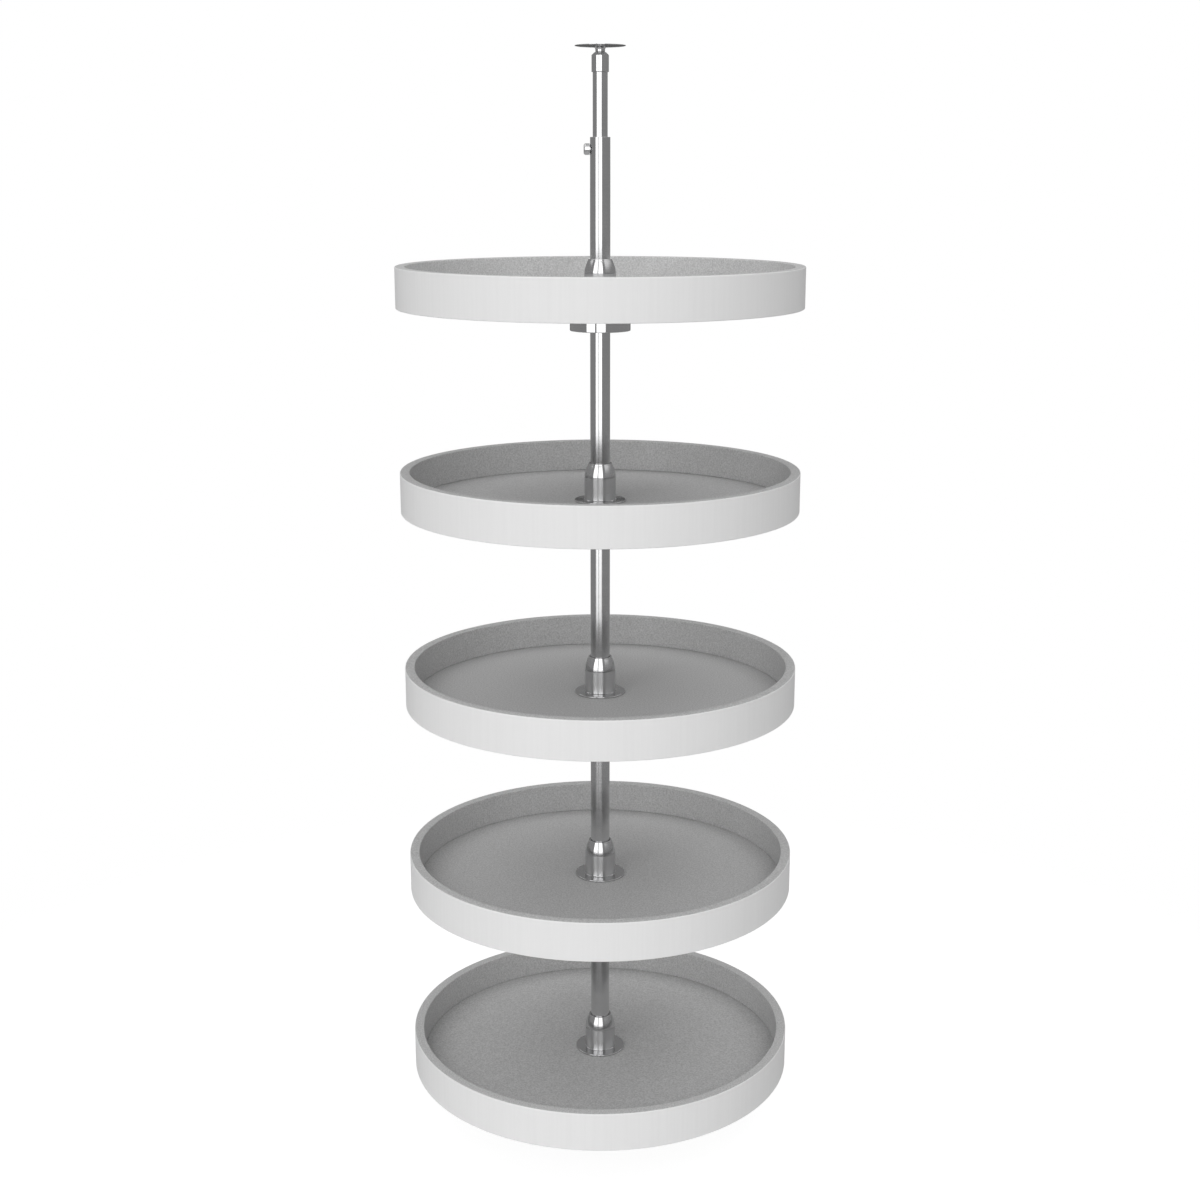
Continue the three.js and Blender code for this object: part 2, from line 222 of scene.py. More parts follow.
def tones(tree, amount, low, high):
    """A ramp from one colour to another, as amount goes from 0.3 to 0.7."""
    ramp = add(tree, "ShaderNodeValToRGB", {"Fac": amount})
    for stop, position, colour in zip(ramp.color_ramp.elements, (0.3, 0.7), (low, high)):
        stop.position = position
        stop.color = (*colour, 1)
    return ramp.outputs["Color"]


def spread(tree, amount, low, high):
    """A value from low to high, as amount goes from 0.3 to 0.7."""
    limits = {"From Min": 0.3, "From Max": 0.7, "To Min": low, "To Max": high}
    return add(tree, "ShaderNodeMapRange", {"Value": amount, **limits}).outputs["Result"]


def from_axis(tree, place, axis="Z"):
    """The distance from the axis, and the place along it."""
    axes = add(tree, "ShaderNodeSeparateXYZ", {"Vector": place}).outputs
    others = [axes[other] for other in "XYZ" if other != axis]
    flat = add(tree, "ShaderNodeCombineXYZ", {"X": others[0], "Y": others[1]}).outputs["Vector"]
    radius = add(tree, "ShaderNodeVectorMath", {0: flat}, operation="LENGTH").outputs["Value"]
    return radius, axes[axis]


def turning_lines(tree, place, axis, scale):
    """Fine lines that run round the axis, each with a grey of its own."""
    radius, along = from_axis(tree, place, axis)
    rings = add(tree, "ShaderNodeCombineXYZ", {"X": radius, "Z": along}).outputs["Vector"]
    lines = add(tree, "ShaderNodeTexNoise", {"Vector": rings, "Scale": scale, "Detail": 3})
    return lines.outputs["Fac"]


def turned_chrome(name, axis, smooth, rough):
    """Chrome plate over fine turning lines that run round the axis, X or Z.

    The lines draw each highlight out along the axis and leave it sharp across. The grey and
    the gloss, from smooth to rough, drift a little from line to line and in soft clouds.
    """
    material, tree, shader, place = finish(name)
    shader.inputs["Metallic"].default_value = 1
    shader.inputs["Anisotropic"].default_value = 1
    shader.inputs["Anisotropic Rotation"].default_value = 0.25
    round_axis = add(tree, "ShaderNodeTangent", direction_type="RADIAL", axis=axis)
    tree.links.new(round_axis.outputs["Tangent"], shader.inputs["Tangent"])
    lines = turning_lines(tree, place, axis, 900)
    cloud = add(tree, "ShaderNodeTexNoise", {"Vector": place, "Scale": 60, "Detail": 4})
    wear = add(tree, "ShaderNodeMix", {
        0: 0.5, 2: lines, 3: cloud.outputs["Fac"]}, data_type="FLOAT").outputs[0]
    tree.links.new(tones(tree, wear, (0.59, 0.59, 0.595), (0.65, 0.65, 0.655)),
                   shader.inputs["Base Color"])
    tree.links.new(spread(tree, wear, smooth, rough), shader.inputs["Roughness"])
    return material


chrome = turned_chrome("turned_chrome", "Z", 0.1, 0.13)


def pivot_flange(name, node_name, body, up):
    """A disc that is a shallow cone on top, flared by a quarter ellipse into the neck, and the
    pin on that. up is 1 or -1, the way the pin points from the disc's flat face."""
    radius, low, high = extent(node_name)
    slope = (flange_thickness + flange_lip_height - flange_cone_height) / (
        radius - flange_lip_width - flange_cone_radius)

    def top(spot):
        return flange_cone_height + slope * (np.hypot(spot[:, 0], spot[:, 1]) - flange_cone_radius)

    def underside(spot):
        return 0 * spot[:, 0]

    rows = np.linspace(wood_screw_circle - drilled_reach, wood_screw_circle + drilled_reach, 7)
    flare = np.linspace(0, np.pi / 2, 9)[1:-1]
    outline = eased([
        (0, 0, 0),
        *((r, 0, 0) for r in rows),
        (radius, 0, flange_edge),
        (radius, flange_thickness, flange_edge),
        (radius - flange_lip_width, flange_thickness + flange_lip_height, 0.6),
        *((r, flange_cone_height + slope * (r - flange_cone_radius), 0) for r in rows[::-1]),
        (flange_cone_radius, flange_cone_height, 0),
        *zip(flange_cone_radius - (flange_cone_radius - neck_radius) * np.sin(flare),
             flange_cone_height + neck_flare_height * (1 - np.cos(flare)), 0 * flare),
        (neck_radius, flange_cone_height + neck_flare_height, 0),
        (neck_radius, pivot_height, plated_edge),
        (pin_radius, pivot_height, plated_edge),
        (pin_radius, high - low, 0.6),
        (0, high - low, 0),
    ])
    points, quads = turned(outline, flange_steps)
    on_rows = np.flatnonzero(np.isclose(outline[:, :1], rows).any(1))
    near_rows = on_rows[outline[on_rows, 1] > 0]
    far_rows = on_rows[outline[on_rows, 1] == 0][::-1]
    wall = [(countersink_mouth, 0), (countersink_mouth - 0.1, 0.06),
            (wood_screw_radius, 0.75), (wood_screw_radius, 0.94), (wood_screw_radius + 0.1, 1)]
    for degrees in wood_screw_angles:
        columns = round(degrees / 360 * flange_steps) + np.arange(-4, 5)
        centre = wood_screw_circle * np.array([math.cos(math.radians(degrees)),
                                               math.sin(math.radians(degrees))])
        points, quads = drilled(points, quads, len(outline), columns, (near_rows, far_rows),
                                [0, 1], centre, wall, (top, underside))
    face = low if up > 0 else high
    points = points * (1, up, up) + (0, 0, face)
    fitted(made(name, points, quads), chrome, body, node_name)


pivot_flange("plated_floor_flange", "floor_flange", "base", 1)


# ---- Foot ball ----
# A hardened and ground steel ball, as in a bearing, on the end of the floor flange's pin. The
# pole stands and turns on it.

ball_radius, ball_low, ball_high = extent("foot_ball")


def ground_steel():
    """Bare steel with fine grinding lines that run round the axis."""
    material, tree, shader, place = finish("ground_steel")
    shader.inputs["Metallic"].default_value = 1
    grind = turning_lines(tree, place, "Z", 3500)
    tree.links.new(tones(tree, grind, (0.42, 0.42, 0.43), (0.56, 0.56, 0.57)),
                   shader.inputs["Base Color"])
    tree.links.new(spread(tree, grind, 0.24, 0.38), shader.inputs["Roughness"])
    bump = add(tree, "ShaderNodeBump", {"Height": grind, "Strength": 0.15, "Distance": 0.0001})
    tree.links.new(bump.outputs["Normal"], shader.inputs["Normal"])
    return material


steel = ground_steel()
ball_steps = 48
ball_swing = np.linspace(-np.pi / 2, np.pi / 2, 33)
ball_outline = np.stack([
    ball_radius * np.cos(ball_swing),
    (ball_low + ball_high) / 2 + ball_radius * np.sin(ball_swing),
], 1)
fitted(made("hardened_foot_ball", *turned(ball_outline, ball_steps)),
       steel, "base", "foot_ball")


# ---- Foot plug ----
# A turned and chromed plug in the lower end of the outer tube. Its blind bore turns on the
# floor flange's pin, and the bore's end rests on the ball.

cap_face_radius = 6.75
cap_chamfer_height = 3.5
pin_bore = 4.4
foot_head_height = 15.0
foot_bore_depth = 18.3
foot_spigot_radius = 10.7
cap_steps = 96


def end_cap(name, node_name, body, up, head_height, spigot_radius, bore_depth):
    """A head with a chamfered face, its spigot, and a bore from the face. up is 1 or -1, the
    way the spigot points. Without a bore depth the bore goes right through."""
    radius, low, high = extent(node_name)
    face = [
        (pin_bore, 0, plated_edge),
        (cap_face_radius, 0, 0.4),
        (radius, cap_chamfer_height, 0.8),
        (radius, head_height, plated_edge),
        (spigot_radius, head_height, 0.1),
        (spigot_radius, high - low, 0.6),
    ]
    if bore_depth is None:
        corners = [*face, (pin_bore, high - low, plated_edge)]
    else:
        corners = [(0, bore_depth, 0), (pin_bore, bore_depth, 0.4), *face, (0, high - low, 0)]
    points, quads = turned(eased(corners), cap_steps)
    points = points * (1, up, up) + (0, 0, low if up > 0 else high)
    fitted(made(name, points, quads), chrome, body, node_name)


end_cap("plated_foot_plug", "foot_plug", "pole", 1,
        foot_head_height, foot_spigot_radius, foot_bore_depth)


# ---- Outer tube ----
# A steel tube, chromed, that carries every tray. The lock screw comes in through a hole in
# its left side, near the top.

tube_wall = 1.5
lock_hole_radius = 3.0
lock_screw_drop = 14.3
tube_steps = 96
hole_reach = 5.4


def side_rows(outline, height, radius):
    """The outline's places on the wall of that radius, near that height, from the lowest up."""
    on_wall = np.isclose(outline[:, 0], radius)
    near = np.abs(outline[:, 1] - height) < hole_reach + 1e-6
    rows = np.flatnonzero(on_wall & near)
    return rows[np.argsort(outline[rows, 1])]


def side_hole(points, quads, outline, columns, axis, sign, height, radii, wall):
    """A hole drilled level through a round wall, from the first radius to the second, towards
    the axis from its plus or minus side. Each wall is at sign sqrt(radius^2 - offset^2)."""
    rows = [side_rows(outline, height, radius) for radius in radii]
    surfaces = [lambda spot, r=radius: sign * np.sqrt(r * r - spot[:, 0] ** 2) for radius in radii]
    return drilled(points, quads, len(outline), columns, rows, [1 - axis, 2],
                   np.array([0, height]), wall, surfaces)


def lock_drilled_tube(name, node_name, radius, bore):
    """A tube between two heights, with the lock screw's hole in its left side."""
    low, high = extent(node_name)[1:]
    height = extent("outer_tube")[2] - lock_screw_drop
    rows = height + np.linspace(-hole_reach, hole_reach, 7)
    outline = eased([
        (radius, low, plated_edge),
        *((radius, z, 0) for z in rows),
        (radius, high, plated_edge),
        (bore, high, plated_edge),
        *((bore, z, 0) for z in rows[::-1]),
        (bore, low, plated_edge),
    ])
    points, quads = turned(outline, tube_steps)
    columns = tube_steps // 2 + np.arange(-8, 9)
    wall = [(lock_hole_radius + 0.1, 0), (lock_hole_radius, 0.06), (lock_hole_radius, 1)]
    points, quads = side_hole(points, quads, outline, columns, 0, -1, height, (radius, bore), wall)
    return made(name, points, quads)


outer_radius = extent("outer_tube")[0]
fitted(lock_drilled_tube("plated_outer_tube", "outer_tube",
                         outer_radius, outer_radius - tube_wall),
       chrome, "pole", "outer_tube")


# ---- Tube bush ----
# A moulded nylon bush in the mouth of the outer tube, with a hole in line with the tube's. It
# keeps the two tubes from rattling.

tube_bush_radius = 10.7
tube_bush_bore = 9.5


def natural_nylon():
    """Undyed moulded nylon: off-white, with a waxy gloss and a slightly uneven skin."""
    material, tree, shader, place = finish("natural_nylon")
    cloud = add(tree, "ShaderNodeTexNoise", {"Vector": place, "Scale": 120, "Detail": 3})
    cloud = cloud.outputs["Fac"]
    tree.links.new(tones(tree, cloud, (0.76, 0.75, 0.71), (0.82, 0.81, 0.77)),
                   shader.inputs["Base Color"])
    tree.links.new(spread(tree, cloud, 0.42, 0.56), shader.inputs["Roughness"])
    skin = add(tree, "ShaderNodeTexNoise", {"Vector": place, "Scale": 1500, "Detail": 2})
    bump = add(tree, "ShaderNodeBump", {
        "Height": skin.outputs["Fac"], "Strength": 0.15, "Distance": 0.0002})
    tree.links.new(bump.outputs["Normal"], shader.inputs["Normal"])
    return material


nylon = natural_nylon()
fitted(lock_drilled_tube("moulded_tube_bush", "tube_bush", tube_bush_radius, tube_bush_bore),
       nylon, "pole", "tube_bush")


# ---- Lock boss ----
# A short threaded boss on the left of the outer tube, cut to the tube's round so that it sits
# on it like a saddle.

boss_radius = 5.0
boss_saddle_radius = 12.8
boss_reach = outer_radius + 1.5
boss_steps = 64
side_chrome = turned_chrome("side_turned_chrome", "X", 0.08, 0.11)


def lock_boss():
    """A ring about the screw's axis whose foot follows the tube: at each angle the outline is
    stretched from the outer face, so that its foot is at sqrt(saddle^2 - offset^2)."""
    foot = math.sqrt(boss_saddle_radius ** 2 - boss_radius ** 2)
    outline = eased([
        (lock_hole_radius, foot, 0.1),
        (boss_radius, foot, 0.1),
        (boss_radius, boss_reach, 0.35),
        (lock_hole_radius, boss_reach, plated_edge),
    ])
    angle = np.arange(boss_steps)[:, None] * 2 * np.pi / boss_steps
    radius, height = outline[None, :, 0], outline[None, :, 1]
    offset = radius * np.sin(angle)
    saddle = np.sqrt(boss_saddle_radius ** 2 - offset ** 2)
    height = boss_reach - (boss_reach - height) * (boss_reach - saddle) / (boss_reach - foot)
    fitting = np.stack([radius + 0 * angle, height], -1)
    points, quads = turned(fitting, boss_steps)
    middle = extent("outer_tube")[2] - lock_screw_drop
    points = points[:, [2, 1, 0]] * (-1, 1, 1) + (0, 0, middle)
    fitted(made("saddle_lock_boss", points, quads), side_chrome, "pole", "lock_boss")


lock_boss()


# ---- Inner tube ----
# A thinner chromed steel tube that slides in the outer one, so that the unit fits the
# cabinet's height. The lock screw presses on it.

inner_wall = 1.4
inner_radius, inner_low, inner_high = extent("inner_tube")
inner_outline = eased([
    (inner_radius, inner_low, plated_edge),
    (inner_radius, inner_high, plated_edge),
    (inner_radius - inner_wall, inner_high, plated_edge),
    (inner_radius - inner_wall, inner_low, plated_edge),
])
fitted(made("plated_inner_tube", *turned(inner_outline, tube_steps)),
       chrome, "telescope", "inner_tube")


# ---- Inner guide ----
# A nylon ring with a spigot, pushed into the lower end of the inner tube. It runs in the
# outer tube's bore.

push_gap = 0.3
guide_wall = 2.5
guide_spigot_radius = inner_radius - inner_wall - push_gap
guide_bore = guide_spigot_radius - guide_wall
guide_ring_height = 8.0
guide_radius, guide_low, guide_high = extent("inner_guide")
guide_outline = eased([
    (guide_bore, guide_low, 0.4),
    (guide_radius, guide_low, 0.6),
    (guide_radius, guide_low + guide_ring_height, 0.4),
    (guide_spigot_radius, guide_low + guide_ring_height, 0.1),
    (guide_spigot_radius, guide_high, 0.6),
    (guide_bore, guide_high, 0.4),
])
fitted(made("moulded_inner_guide", *turned(guide_outline, tube_steps)),
       nylon, "telescope", "inner_guide")


# ---- Top cap ----
# The foot plug's smaller sister, upside down in the top of the inner tube. The ceiling
# flange's pin turns in its bore.

top_head_height = 22.8
top_spigot_radius = 7.5
end_cap("plated_top_cap", "top_cap", "telescope", -1, top_head_height, top_spigot_radius, None)


# ---- Ceiling flange ----
# The same casting as the floor flange, upside down and with a longer pin. Three wood screws
# hold it to the cabinet's top.

pivot_flange("plated_ceiling_flange", "ceiling_flange", "ceiling_flange", -1)


# ---- Lock screw ----
# A chromed screw with a round head, turned by hand. It goes through the boss and presses on
# the inner tube, which locks the pole's length. The head's hollow back covers the boss.

lock_head_radius = 6.8
lock_head_length = 5.9
lock_skirt_bore = 5.4
lock_shank_radius = 2.6
lock_skirt_gap = 0.4
lock_head_round = 2.5


def lock_screw():
    """The screw's outline turned and laid on its side, with its head to the left."""
    low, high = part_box("lock_screw")
    tip, top = -high.x / mm, -low.x / mm
    seat = top - lock_head_length
    skirt_end = outer_radius + lock_skirt_gap
    outline = eased([
        (0, tip, 0),
        (lock_shank_radius, tip, 0.5),
        (lock_shank_radius, seat, 0.1),
        (lock_skirt_bore, seat, 0.2),
        (lock_skirt_bore, skirt_end, 0.2),
        (lock_head_radius, skirt_end, 0.3),
        (lock_head_radius, top, lock_head_round),
        (0, top, 0),
    ])
    points, quads = turned(outline, boss_steps)
    points = points[:, [2, 1, 0]] * (-1, 1, 1) + (0, 0, (low.z + high.z) / 2 / mm)
    fitted(made("lock_hand_screw", points, quads), side_chrome, "lock_screw",
           "lock_screw")


lock_screw()


# ---- Support cups ----
# A chromed casting under each tray, hollow below. A screw in its boss clamps it to the pole,
# and a round hole at the back of its skirt lets the key in.

tray_numbers = range(1, 6)
hub_steps = 96
running_gap = 0.4
pole_bore = outer_radius + running_gap
cup_wall = 3.0
cup_web = 3.8
cup_edge = 0.8
cup_boss_radius = pole_bore + 6.6
cup_boss_rise = 2.0
set_screw_hole_radius = 2.8
key_hole_radius = 4.0


def support_cup(number):
    """The cup's outline turned, with the key hole through its skirt and the screw's hole
    through its boss, both drilled from the back."""
    radius, low, high = extent(f"support_cup_{number}")
    height = high - low
    web = height - cup_web
    skirt_bore = radius - cup_wall
    drill_height = (cup_boss_rise + web) / 2
    rows = drill_height + np.linspace(-hole_reach, hole_reach, 7)
    outline = eased([
        (pole_bore, cup_boss_rise, plated_edge),
        (cup_boss_radius, cup_boss_rise, 0.6),
        *((cup_boss_radius, z, 0) for z in rows),
        (cup_boss_radius, web, 1.0),
        (skirt_bore, web, 1.0),
        *((skirt_bore, z, 0) for z in rows[::-1]),
        (skirt_bore, 0, 0.6),
        (radius, 0, cup_edge),
        *((radius, z, 0) for z in rows),
        (radius, height, cup_edge),
        (pole_bore, height, plated_edge),
        *((pole_bore, z, 0) for z in rows[::-1]),
    ])
    points, quads = turned(outline, hub_steps)
    back = hub_steps // 4
    for reach, hole, radii in ((3, key_hole_radius, (radius, skirt_bore)),
                               (5, set_screw_hole_radius, (cup_boss_radius, pole_bore))):
        wall = [(hole + 0.3, 0), (hole + 0.1, 0.03), (hole, 0.1), (hole, 0.97), (hole + 0.1, 1)]
        columns = back + np.arange(-reach, reach + 1)
        points, quads = side_hole(points, quads, outline, columns, 1, 1, drill_height, radii, wall)
    return made(f"cast_support_cup_{number}", points + (0, 0, low), quads)


for number in tray_numbers:
    fitted(support_cup(number), chrome, f"support_{number}", f"support_cup_{number}")


# ---- Set screws ----
# A short threaded steel rod with a hexagon socket in its outer end, in the boss of each cup. A
# key tightens it on the pole.

socket_flat = 1.25
socket_depth = 3.0
socket_edge = 0.12
screw_steps = 48


def set_screw(number):
    """The screw's outline, its socket drawn out to a hexagon: flat / cos(angle from the
    middle of the side)."""
    low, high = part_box(f"set_screw_{number}")
    tip, top, radius = low.y / mm, high.y / mm, high.x / mm
    outline = eased([
        (0, tip, 0),
        (radius, tip, 0.8),
        (radius, top, 0.4),
        (socket_flat, top, socket_edge),
        (socket_flat, top - socket_depth, 0.05),
        (0, top - socket_depth, 0),
    ])
    angle = np.arange(screw_steps)[:, None] * 2 * np.pi / screw_steps
    hexagon = 1 / np.cos(angle % (np.pi / 3) - np.pi / 6)
    reached = np.repeat(outline[None], screw_steps, 0)
    inside = reached[..., 0] < socket_flat + socket_edge + 0.01
    inside &= reached[..., 1] > top - socket_depth - 0.1
    reached[..., 0] = np.where(inside, reached[..., 0] * hexagon, reached[..., 0])
    points, quads = turned(reached, screw_steps)
    points = points[:, [0, 2, 1]] * (1, 1, -1) + (0, 0, (low.z + high.z) / 2 / mm)
    return made(f"socket_set_screw_{number}", points, quads)


for number in tray_numbers:
    fitted(set_screw(number), steel, f"support_{number}", f"set_screw_{number}")


# ---- Thrust washers ----
# A ground steel ring that lies on each cup, round the pole. The bush above it turns on it, and
# it keeps the two from wearing.

for number in tray_numbers:
    radius, low, high = extent(f"thrust_washer_{number}")
    outline = eased([
        (pole_bore, low, plated_edge),
        (radius, low, 0.4),
        (radius, high, 0.4),
        (pole_bore, high, plated_edge),
    ])
    fitted(made(f"ground_thrust_washer_{number}", *turned(outline, hub_steps)),
           steel, f"support_{number}", f"thrust_washer_{number}")


# ---- Flanged bushes ----
# A nylon bush up through each tray, which turns on the pole. Its flange holds the tray's
# panel from below.

bush_radius = pole_bore + 4.4
bush_flange = 2.4

for number in tray_numbers:
    radius, low, high = extent(f"flanged_bush_{number}")
    outline = eased([
        (pole_bore, low, 0.4),
        (radius, low, 0.5),
        (radius, low + bush_flange, 0.5),
        (bush_radius, low + bush_flange, 0.1),
        (bush_radius, high, 0.5),
        (pole_bore, high, 0.4),
    ])
    fitted(made(f"moulded_flanged_bush_{number}", *turned(outline, hub_steps)),
           nylon, f"tray_{number}", f"flanged_bush_{number}")


# ---- Tray floors ----
# A round panel of board in a light grey textured lacquer, let into the rim from below. It is
# clamped between the bush's flange and the hub sleeve. Its grey is darker than the rim's outside
# lacquer; part of that darkness is painted shade, for the shade inside the stacked trays.

tray_steps = 240
panel_bore = bush_radius + push_gap


def speckled(tree, place):
    """The grain of the textured lacquer, and its grey, which is set darker partly as painted shade
    for the inside of the trays.
    """
    speck = add(tree, "ShaderNodeTexNoise", {"Vector": place, "Scale": 520, "Detail": 3})
    speck = speck.outputs["Fac"]
    return speck, tones(tree, speck, (0.44, 0.44, 0.44), (0.68, 0.68, 0.68))


def floor_lacquer():
    """Grey lacquer with a fine speckled grain, in its tone and in its surface. Its grey is partly
    painted shade.
    """
    material, tree, shader, place = finish("floor_lacquer_with_painted_shade")
    # painted shade: the speckled grey is set darker than the rim's outside, for part of the shade
    # inside the trays
    speck, grey = speckled(tree, place)
    tree.links.new(grey, shader.inputs["Base Color"])
    tree.links.new(spread(tree, speck, 0.5, 0.62), shader.inputs["Roughness"])
    bump = add(tree, "ShaderNodeBump", {"Height": speck, "Strength": 0.3, "Distance": 0.0002})
    tree.links.new(bump.outputs["Normal"], shader.inputs["Normal"])
    return material


panel_lacquer = floor_lacquer()

for number in tray_numbers:
    radius, low, high = extent(f"tray_floor_{number}")
    outline = eased([
        (panel_bore, low, plated_edge),
        (radius, low, 0.5),
        (radius, high, 0.5),
        (panel_bore, high, plated_edge),
    ])
    fitted(made(f"tray_panel_{number}", *turned(outline, tray_steps)),
           panel_lacquer, f"tray_{number}", f"tray_floor_{number}")


# ---- Tray rims ----
# A band of board bent round, half an inch thick and two inches high. Its outside has a smoother
# and lighter lacquer. Its inside and its top have the panel's textured grain in the panel's
# darker grey, which is painted shade for the sheltered inside of the tray.

rim_thickness = 12.7
rim_step_depth = 3.0
rim_step_height = 9.8
rim_edge = 1.2
shade_seam_start = 0.5
shade_seam_end = 0.9


def rim_lacquer():
    """Light lacquer with faint upright streaks from the bent board, at the outer radius, which
    gives way to the panel's darker speckled grey, painted shade, where the top edge rounds over."""
    material, tree, shader, place = finish("rim_lacquer_with_painted_shade")
    speck, grey = speckled(tree, place)
    radius = from_axis(tree, place)[0]
    outer = extent("tray_rim_1")[0]
    # painted shade: only the outer face keeps the light lacquer; the top and the inside get the
    # darker grey
    lit_outside_mask = add(tree, "ShaderNodeMapRange", {
        "Value": radius, "From Min": (outer - shade_seam_end) * mm,
        "From Max": (outer - shade_seam_start) * mm}).outputs["Result"]
    drawn = add(tree, "ShaderNodeVectorMath", {0: place, 1: (1, 1, 0.03)}, operation="MULTIPLY")
    streak = add(tree, "ShaderNodeTexNoise", {
        "Vector": drawn.outputs["Vector"], "Scale": 240, "Detail": 3}).outputs["Fac"]
    light = tones(tree, streak, (0.78, 0.78, 0.78), (0.8, 0.8, 0.8))
    # painted shade: the darker grey inside and on top, the light lacquer outside
    paint = add(tree, "ShaderNodeMix", {0: lit_outside_mask, 6: grey, 7: light}, data_type="RGBA")
    tree.links.new(paint.outputs[2], shader.inputs["Base Color"])
    tree.links.new(spread(tree, speck, 0.48, 0.6), shader.inputs["Roughness"])
    grain = add(tree, "ShaderNodeMapRange", {"Value": lit_outside_mask, "To Min": 0.25, "To Max": 0.02})
    bump = add(tree, "ShaderNodeBump", {
        "Height": speck, "Strength": grain.outputs["Result"], "Distance": 0.0002})
    tree.links.new(bump.outputs["Normal"], shader.inputs["Normal"])
    return material


band_lacquer = rim_lacquer()

for number in tray_numbers:
    radius, low, high = extent(f"tray_rim_{number}")
    bore = radius - rim_thickness
    step_radius = bore + rim_step_depth
    outline = eased([
        (step_radius, low, 0.4),
        (radius, low, 1.0),
        (radius, high, rim_edge),
        (bore, high, rim_edge),
        (bore, low + rim_step_height, 0.3),
        (step_radius, low + rim_step_height, 0.1),
    ])
    fitted(made(f"bent_rim_{number}", *turned(outline, tray_steps)),
           band_lacquer, f"tray_{number}", f"tray_rim_{number}")


# ---- Hub sleeves ----
# A chromed turning screwed down on each bush, with a thin flange on the tray's panel. The
# turning lines on its wall are coarser than the cap's, and its foot is polished.

sleeve_wall = 2.5
sleeve_flange = 2.3
sleeve_bore = bush_radius + push_gap
sleeve_radius = sleeve_bore + sleeve_wall
foot_gloss_start = 0.05
foot_gloss_end = 0.25
foot_roughness = 0.09


def sleeve_chrome():
    """The turned chrome, with coarser lines on the wall that draw its highlights further up and
    down. The gloss changes over where the foot starts to flare out."""
    material = turned_chrome("satin_walled_chrome", "Z", 0.27, 0.3)
    tree = material.node_tree
    place = add(tree, "ShaderNodeTexCoord").outputs["Object"]
    radius = from_axis(tree, place)[0]
    on_foot = add(tree, "ShaderNodeMapRange", {
        "Value": radius, "From Min": (sleeve_radius + foot_gloss_start) * mm,
        "From Max": (sleeve_radius + foot_gloss_end) * mm}).outputs["Result"]
    rough = tree.nodes["Principled BSDF"].inputs["Roughness"]
    gloss = add(tree, "ShaderNodeMix", {
        0: on_foot, 2: rough.links[0].from_socket, 3: foot_roughness}, data_type="FLOAT")
    tree.links.new(gloss.outputs[0], rough)
    return material


satin_chrome = sleeve_chrome()

for number in tray_numbers:
    radius, low, high = extent(f"hub_sleeve_{number}")
    outline = eased([
        (sleeve_bore, low, plated_edge),
        (radius, low, 0.2),
        (radius, low + sleeve_flange, 0.9),
        (sleeve_radius, low + sleeve_flange, 1.0),
        (sleeve_radius, high, 0.2),
        (sleeve_bore, high, plated_edge),
    ])
    fitted(made(f"turned_hub_sleeve_{number}", *turned(outline, hub_steps)),
           satin_chrome, f"tray_{number}", f"hub_sleeve_{number}")


# ---- Hub caps ----
# A chromed turning on top of each sleeve, with a spigot pushed into it. Its side is drawn in
# to the pole like the nose of a bullet.

cap_land = 2.1
cap_edge = 0.6
cap_height = 17.2
cap_lean = 0.12

for number in tray_numbers:
    radius, low, high = extent(f"hub_cap_{number}")
    seam = high - cap_height
    rise = cap_height - cap_edge
    draw_in = radius - pole_bore - cap_land
    half_turn = math.atan2(draw_in, rise) - cap_lean
    side_radius = math.hypot(rise, draw_in) / (2 * math.sin(half_turn))
    swing = np.linspace(cap_lean, cap_lean + 2 * half_turn, 17)[1:-1]
    outline = eased([
        (pole_bore, low, plated_edge),
        (bush_radius, low, plated_edge),
        (bush_radius, seam, 0.1),
        (radius, seam, 0.2),
        *zip(radius + side_radius * (np.cos(swing) - math.cos(cap_lean)),
             seam + side_radius * (np.sin(swing) - math.sin(cap_lean)), 0 * swing),
        (pole_bore + cap_land - 0.1, high, cap_edge),
        (pole_bore, high, plated_edge),
    ])
    fitted(made(f"bullet_hub_cap_{number}", *turned(outline, hub_steps)),
           chrome, f"tray_{number}", f"hub_cap_{number}")


# ---- Studio floor ----
# A plain white floor that fades out at its edge. Only its soft shadow tells it from the
# backdrop.

floor_radius = 1.2
floor_steps = 96
floor_rings = 6
fade_start = 0.8
fade_end = 1.18
mirrored_start = 0.35
mirrored_end = 0.6
floor_grey = 0.2
floor_glow = 0.9


